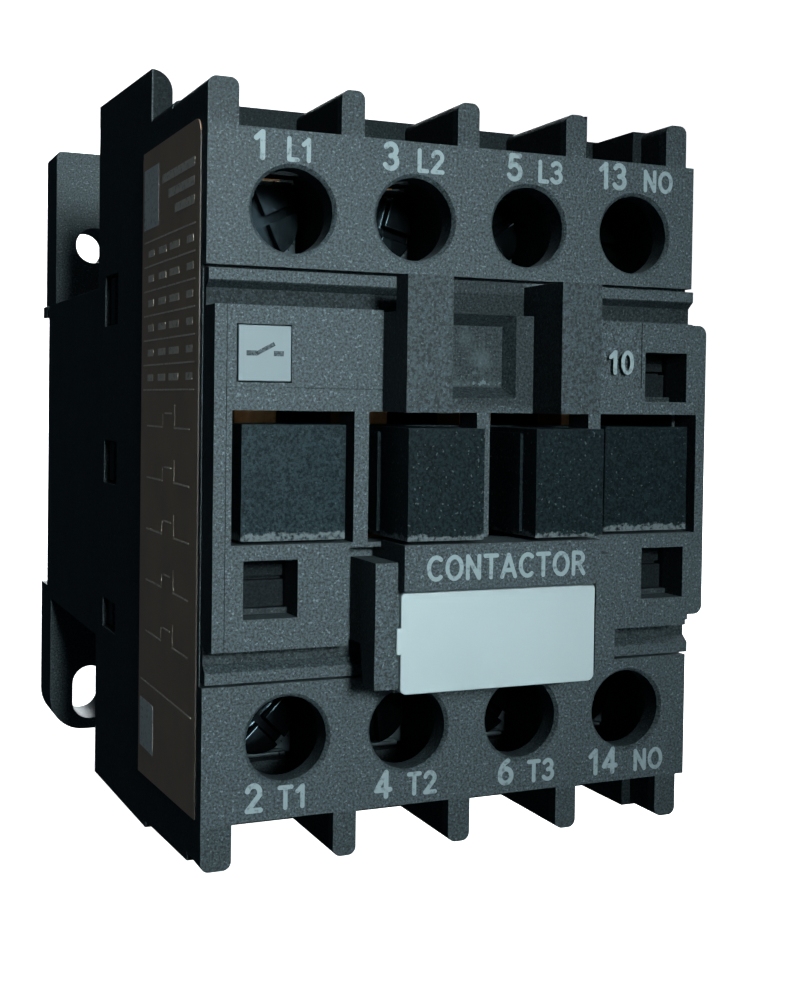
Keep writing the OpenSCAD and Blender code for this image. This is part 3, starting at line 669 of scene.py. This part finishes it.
def bar_mesh(bm, low, high):
    """Adds a box between two corners to bm."""
    size = [h - l for l, h in zip(low, high)]
    middle = [(h + l) / 2 for l, h in zip(low, high)]
    matrix = Matrix.Translation(middle) @ Matrix.Diagonal((*size, 1.0))
    bmesh.ops.create_cube(bm, size=1.0, matrix=matrix)


def object_from(bm, name, material):
    """Turns bm into an object in the scene and frees it."""
    mesh = bpy.data.meshes.new(name)
    bm.to_mesh(mesh)
    bm.free()
    mesh.materials.append(material)
    obj = bpy.data.objects.new(name, mesh)
    bpy.context.scene.collection.objects.link(obj)
    return obj


def piece_from(bm, name, material, body):
    """A visible piece that rides on a body of the frame."""
    obj = object_from(bm, name, material)
    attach(obj, body)


def label_line(bm, y0, y1, z0, z1):
    """A printed bar on the side label, in millimetres from the label's front lower corner."""
    corner = LABEL_LOW
    bar_mesh(
        bm,
        (corner.x - 0.012 * MM, corner.y + y0 * MM, corner.z + z0 * MM),
        (corner.x + 0.01 * MM, corner.y + y1 * MM, corner.z + z1 * MM),
    )


def side_label_print():
    """Generic rating table and contact sketches: plain bars, no lettering."""
    length = (LABEL_HIGH.y - LABEL_LOW.y) / MM
    height = (LABEL_HIGH.z - LABEL_LOW.z) / MM
    rule = 0.14
    front, back = 1.2, length - 0.8
    rows, row_pitch = 6, 2.2
    columns, column_pitch = 4, 4.4
    table_top = height - 8.2
    sketches, sketch_pitch = 5, 4.6
    bm = bmesh.new()
    # Heading beside the pale block
    for k in range(3):
        z = height - 3.6 - 1.5 * k
        label_line(bm, 1.6, 12.2 - 2.2 * k, z, z + 0.75)
    # Rating table
    for k in range(rows + 1):
        z = table_top - row_pitch * k
        label_line(bm, front, back, z, z + rule)
    for k in range(rows):
        z = table_top - row_pitch * k - 1.35
        for column in range(columns):
            width = 2.0 + 0.6 * ((k * 3 + column * 5) % 3)
            y = 1.8 + column_pitch * column
            label_line(bm, y, y + width, z, z + 0.6)
    # Open contacts, stacked under the table
    for k in range(sketches):
        z = table_top - row_pitch * rows - 3.2 - sketch_pitch * k
        label_line(bm, 2.4, 7.4, z, z + rule)
        label_line(bm, 11.2, 17.0, z, z + rule)
        label_line(bm, 7.2, 7.2 + rule, z + rule + 0.1, z + 2.0)
        label_line(bm, 11.2, 11.2 + rule, z + rule + 0.1, z + 1.2)
        label_line(bm, 8.2, 10.6, z + 1.2, z + 1.2 + rule)
    label_line(bm, front, back, 8.6, 8.6 + rule)
    piece_from(bm, "label_print", LABEL_INK, "housing")
    bm = bmesh.new()
    label_line(bm, 13.4, length - 0.6, height - 7.0, height - 1.6)
    label_line(bm, 13.8, length - 0.6, 2.6, 7.0)
    piece_from(bm, "label_blocks", LABEL_BLOCK, "housing")


def badge_symbol():
    """Open-contact symbol on the badge: two terminals and a lifted arm, sizes in mm."""
    mid = (BADGE_LOW + BADGE_HIGH) / 2
    bm = bmesh.new()
    for x0, x1, z0, z1, turn in (
        (-1.5, -0.7, -0.2, 0.2, 0.0),
        (0.7, 1.5, -0.2, 0.2, 0.0),
        (-0.85, 0.85, 0.18, 0.5, -0.5),
    ):
        middle = (mid.x + (x0 + x1) / 2 * MM, BADGE_LOW.y, mid.z + (z0 + z1) / 2 * MM)
        size = Matrix.Diagonal(((x1 - x0) * MM, 2 * PRINT_T, (z1 - z0) * MM, 1.0))
        spin = Matrix.Rotation(turn, 4, "Y")
        bmesh.ops.create_cube(bm, size=1.0, matrix=Matrix.Translation(middle) @ spin @ size)
    piece_from(bm, "badge_symbol", BODY, "housing")


# ---------------------------------------------------------------- springs

def squashing_spring(node, piece, body):
    """Stands for a CAD spring: a copy of its mesh that rides on a body, with the CAD node hidden.
    """
    mesh = NODES[node].data.copy()
    mesh.name = piece
    obj = bpy.data.objects.new(piece, mesh)
    bpy.context.scene.collection.objects.link(obj)
    for polygon in mesh.polygons:
        polygon.use_smooth = True
    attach(obj, body)
    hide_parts(node)
    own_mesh(obj)


def build_springs():
    """All six springs; each stands on its fixed end."""
    squashing_spring("return_springs", "return_coils", "housing")
    squashing_spring("latch_spring", "latch_coils", "housing")
    for i in range(1, 5):
        squashing_spring(f"contact_spring_{i}", f"contact_coils_{i}", "carrier")


# ------------------------------------------------------- stage and camera

# Floor and curtain, in metres
FLOOR_FRONT = -1.5
FLOOR_BACK = 0.55
FLOOR_HALF_WIDTH = 1.6
SWEEP_RADIUS = 0.35
SWEEP_STEPS = 16
WALL_HEIGHT = 1.8
CURTAIN_RADIUS = 1.45
CURTAIN_SIDES = 64
CURTAIN_HEIGHT = 2.2
CURTAIN_DROP = 0.05
PAPER_GLOW = 1.1


def studio_paper():
    """Nearly white paper that glows a little, so that it stays white away from the lights."""
    s = Shader("studio_floor")
    cloud = s.noise(6, 3.0, 0.5)
    s.color(s.mix(cloud, (0.88, 0.88, 0.88), (0.92, 0.92, 0.92)))
    s.rough(s.span(cloud, 0.3, 0.7, 0.8, 0.9))
    s.bsdf.inputs["Emission Color"].default_value = (1.0, 1.0, 1.0, 1.0)
    s.bsdf.inputs["Emission Strength"].default_value = PAPER_GLOW
    return s.material


def stage_piece(name, bm, material, shadows):
    """Scenery that the camera sees but that neither lights nor mirrors in the object."""
    obj = object_from(bm, name, material)
    for polygon in obj.data.polygons:
        polygon.use_smooth = True
    obj.visible_diffuse = False
    obj.visible_glossy = False
    obj.visible_shadow = shadows


def build_floor():
    """Pale floor that sweeps up behind the object, and a round curtain of the same paper."""
    paper = studio_paper()
    z = CAD_BOX[0][2] - 0.5 * MM
    outline = [(FLOOR_FRONT, 0.0), (FLOOR_BACK, 0.0)]
    for k in range(1, SWEEP_STEPS + 1):
        a = math.pi / 2 * k / SWEEP_STEPS
        back, up = SWEEP_RADIUS * math.sin(a), SWEEP_RADIUS * (1 - math.cos(a))
        outline.append((FLOOR_BACK + back, up))
    outline.append((FLOOR_BACK + SWEEP_RADIUS, WALL_HEIGHT))
    bm = bmesh.new()
    half = FLOOR_HALF_WIDTH
    rows = [[bm.verts.new((x, y, z + h)) for x in (-half, half)] for y, h in outline]
    for a, b in zip(rows, rows[1:]):
        bm.faces.new((a[0], a[1], b[1], b[0]))
    stage_piece("studio_floor", bm, paper, True)

    bm = bmesh.new()
    low, high = [], []
    for k in range(CURTAIN_SIDES):
        a = 2 * math.pi * k / CURTAIN_SIDES
        x, y = CURTAIN_RADIUS * math.cos(a), CURTAIN_RADIUS * math.sin(a)
        low.append(bm.verts.new((x, y, z - CURTAIN_DROP)))
        high.append(bm.verts.new((x, y, z + CURTAIN_HEIGHT)))
    for k in range(CURTAIN_SIDES):
        j = (k + 1) % CURTAIN_SIDES
        bm.faces.new((low[k], high[k], high[j], low[j]))
    stage_piece("studio_curtain", bm, paper, False)


def area_light(name, place, target, size, power, color, spread):
    light = bpy.data.lights.new(name, "AREA")
    light.shape = "RECTANGLE"
    light.size = light.size_y = size
    light.energy = power
    light.color = color
    light.spread = math.radians(spread)
    obj = bpy.data.objects.new(name, light)
    obj.location = place
    obj.rotation_euler = (Vector(target) - Vector(place)).to_track_quat("-Z", "Y").to_euler()
    bpy.context.scene.collection.objects.link(obj)


DAYLIGHT = (0.9, 0.97, 1.0)
WIDE = 180.0
# Name, place, target, size in metres, power in watts, colour, spread in degrees
LIGHTS = [
    ("beam", (-0.02, -0.60, 0.14), (-0.035, -0.077, 0.015), 0.10, 0.080, (0.86, 0.98, 1.0), 22.0),
    ("fill", (0.10, -0.85, 0.02), (0.0, -0.06, 0.0), 0.35, 0.5, (0.8, 0.95, 1.0), WIDE),
    ("top", (0.10, 0.10, 0.75), (0.0, -0.06, 0.0), 0.50, 3.0, DAYLIGHT, WIDE),
    ("right", (0.75, 0.12, 0.20), (0.0, -0.04, 0.0), 0.40, 7.0, DAYLIGHT, WIDE),
    ("back", (0.25, 0.85, 0.25), (0.0, -0.03, 0.0), 0.40, 9.0, DAYLIGHT, WIDE),
    ("left", (-0.75, 0.15, 0.15), (0.0, -0.03, 0.0), 0.40, 0.15, (0.6, 0.85, 1.0), WIDE),
]
WORLD_COLOR = (0.40, 0.75, 1.0, 1.0)
WORLD_STRENGTH = 0.022


def build_lights():
    """Soft light from the right front and above; the left side stays in shade."""
    world = bpy.data.worlds.new("studio")
    world.use_nodes = True
    background = world.node_tree.nodes["Background"]
    background.inputs["Color"].default_value = WORLD_COLOR
    background.inputs["Strength"].default_value = WORLD_STRENGTH
    bpy.context.scene.world = world
    for light in LIGHTS:
        area_light(*light)


# Camera fitted to the photograph: degrees, millimetres from the bands' face, and lens
CAMERA_YAW, CAMERA_PITCH, CAMERA_ROLL = -23.5, -1.34, -0.78
CAMERA_X, CAMERA_BEFORE_BAND, CAMERA_Z = -51.4, 103.8, 6.0
CAMERA_LENS = 49.67
CAMERA_SHIFT = -0.0658


def build_camera():
    """Camera low at the left front, turned towards the contactor's middle."""
    yaw, pitch, roll = (math.radians(a) for a in (CAMERA_YAW, CAMERA_PITCH, CAMERA_ROLL))
    turn = Matrix.Rotation(yaw, 4, "Z") @ Matrix.Rotation(pitch, 4, "X")
    turn = turn @ Matrix.Rotation(roll, 4, "Y")
    look = Matrix.Rotation(math.pi / 2, 4, "X")
    place = Matrix.Translation((CAMERA_X * MM, from_band(-CAMERA_BEFORE_BAND), CAMERA_Z * MM))
    camera = bpy.data.cameras.new("camera")
    camera.sensor_width = 36.0
    camera.lens = CAMERA_LENS
    camera.shift_y = CAMERA_SHIFT
    camera.clip_start = 0.01
    obj = bpy.data.objects.new("camera", camera)
    obj.matrix_world = place @ turn @ look
    bpy.context.scene.collection.objects.link(obj)
    bpy.context.scene.camera = obj
    bpy.context.scene.view_settings.view_transform = "Standard"


finish_cad_nodes()
terminal_marks()
cover_marks()
side_label_print()
badge_symbol()
build_springs()
build_floor()
build_lights()
build_camera()
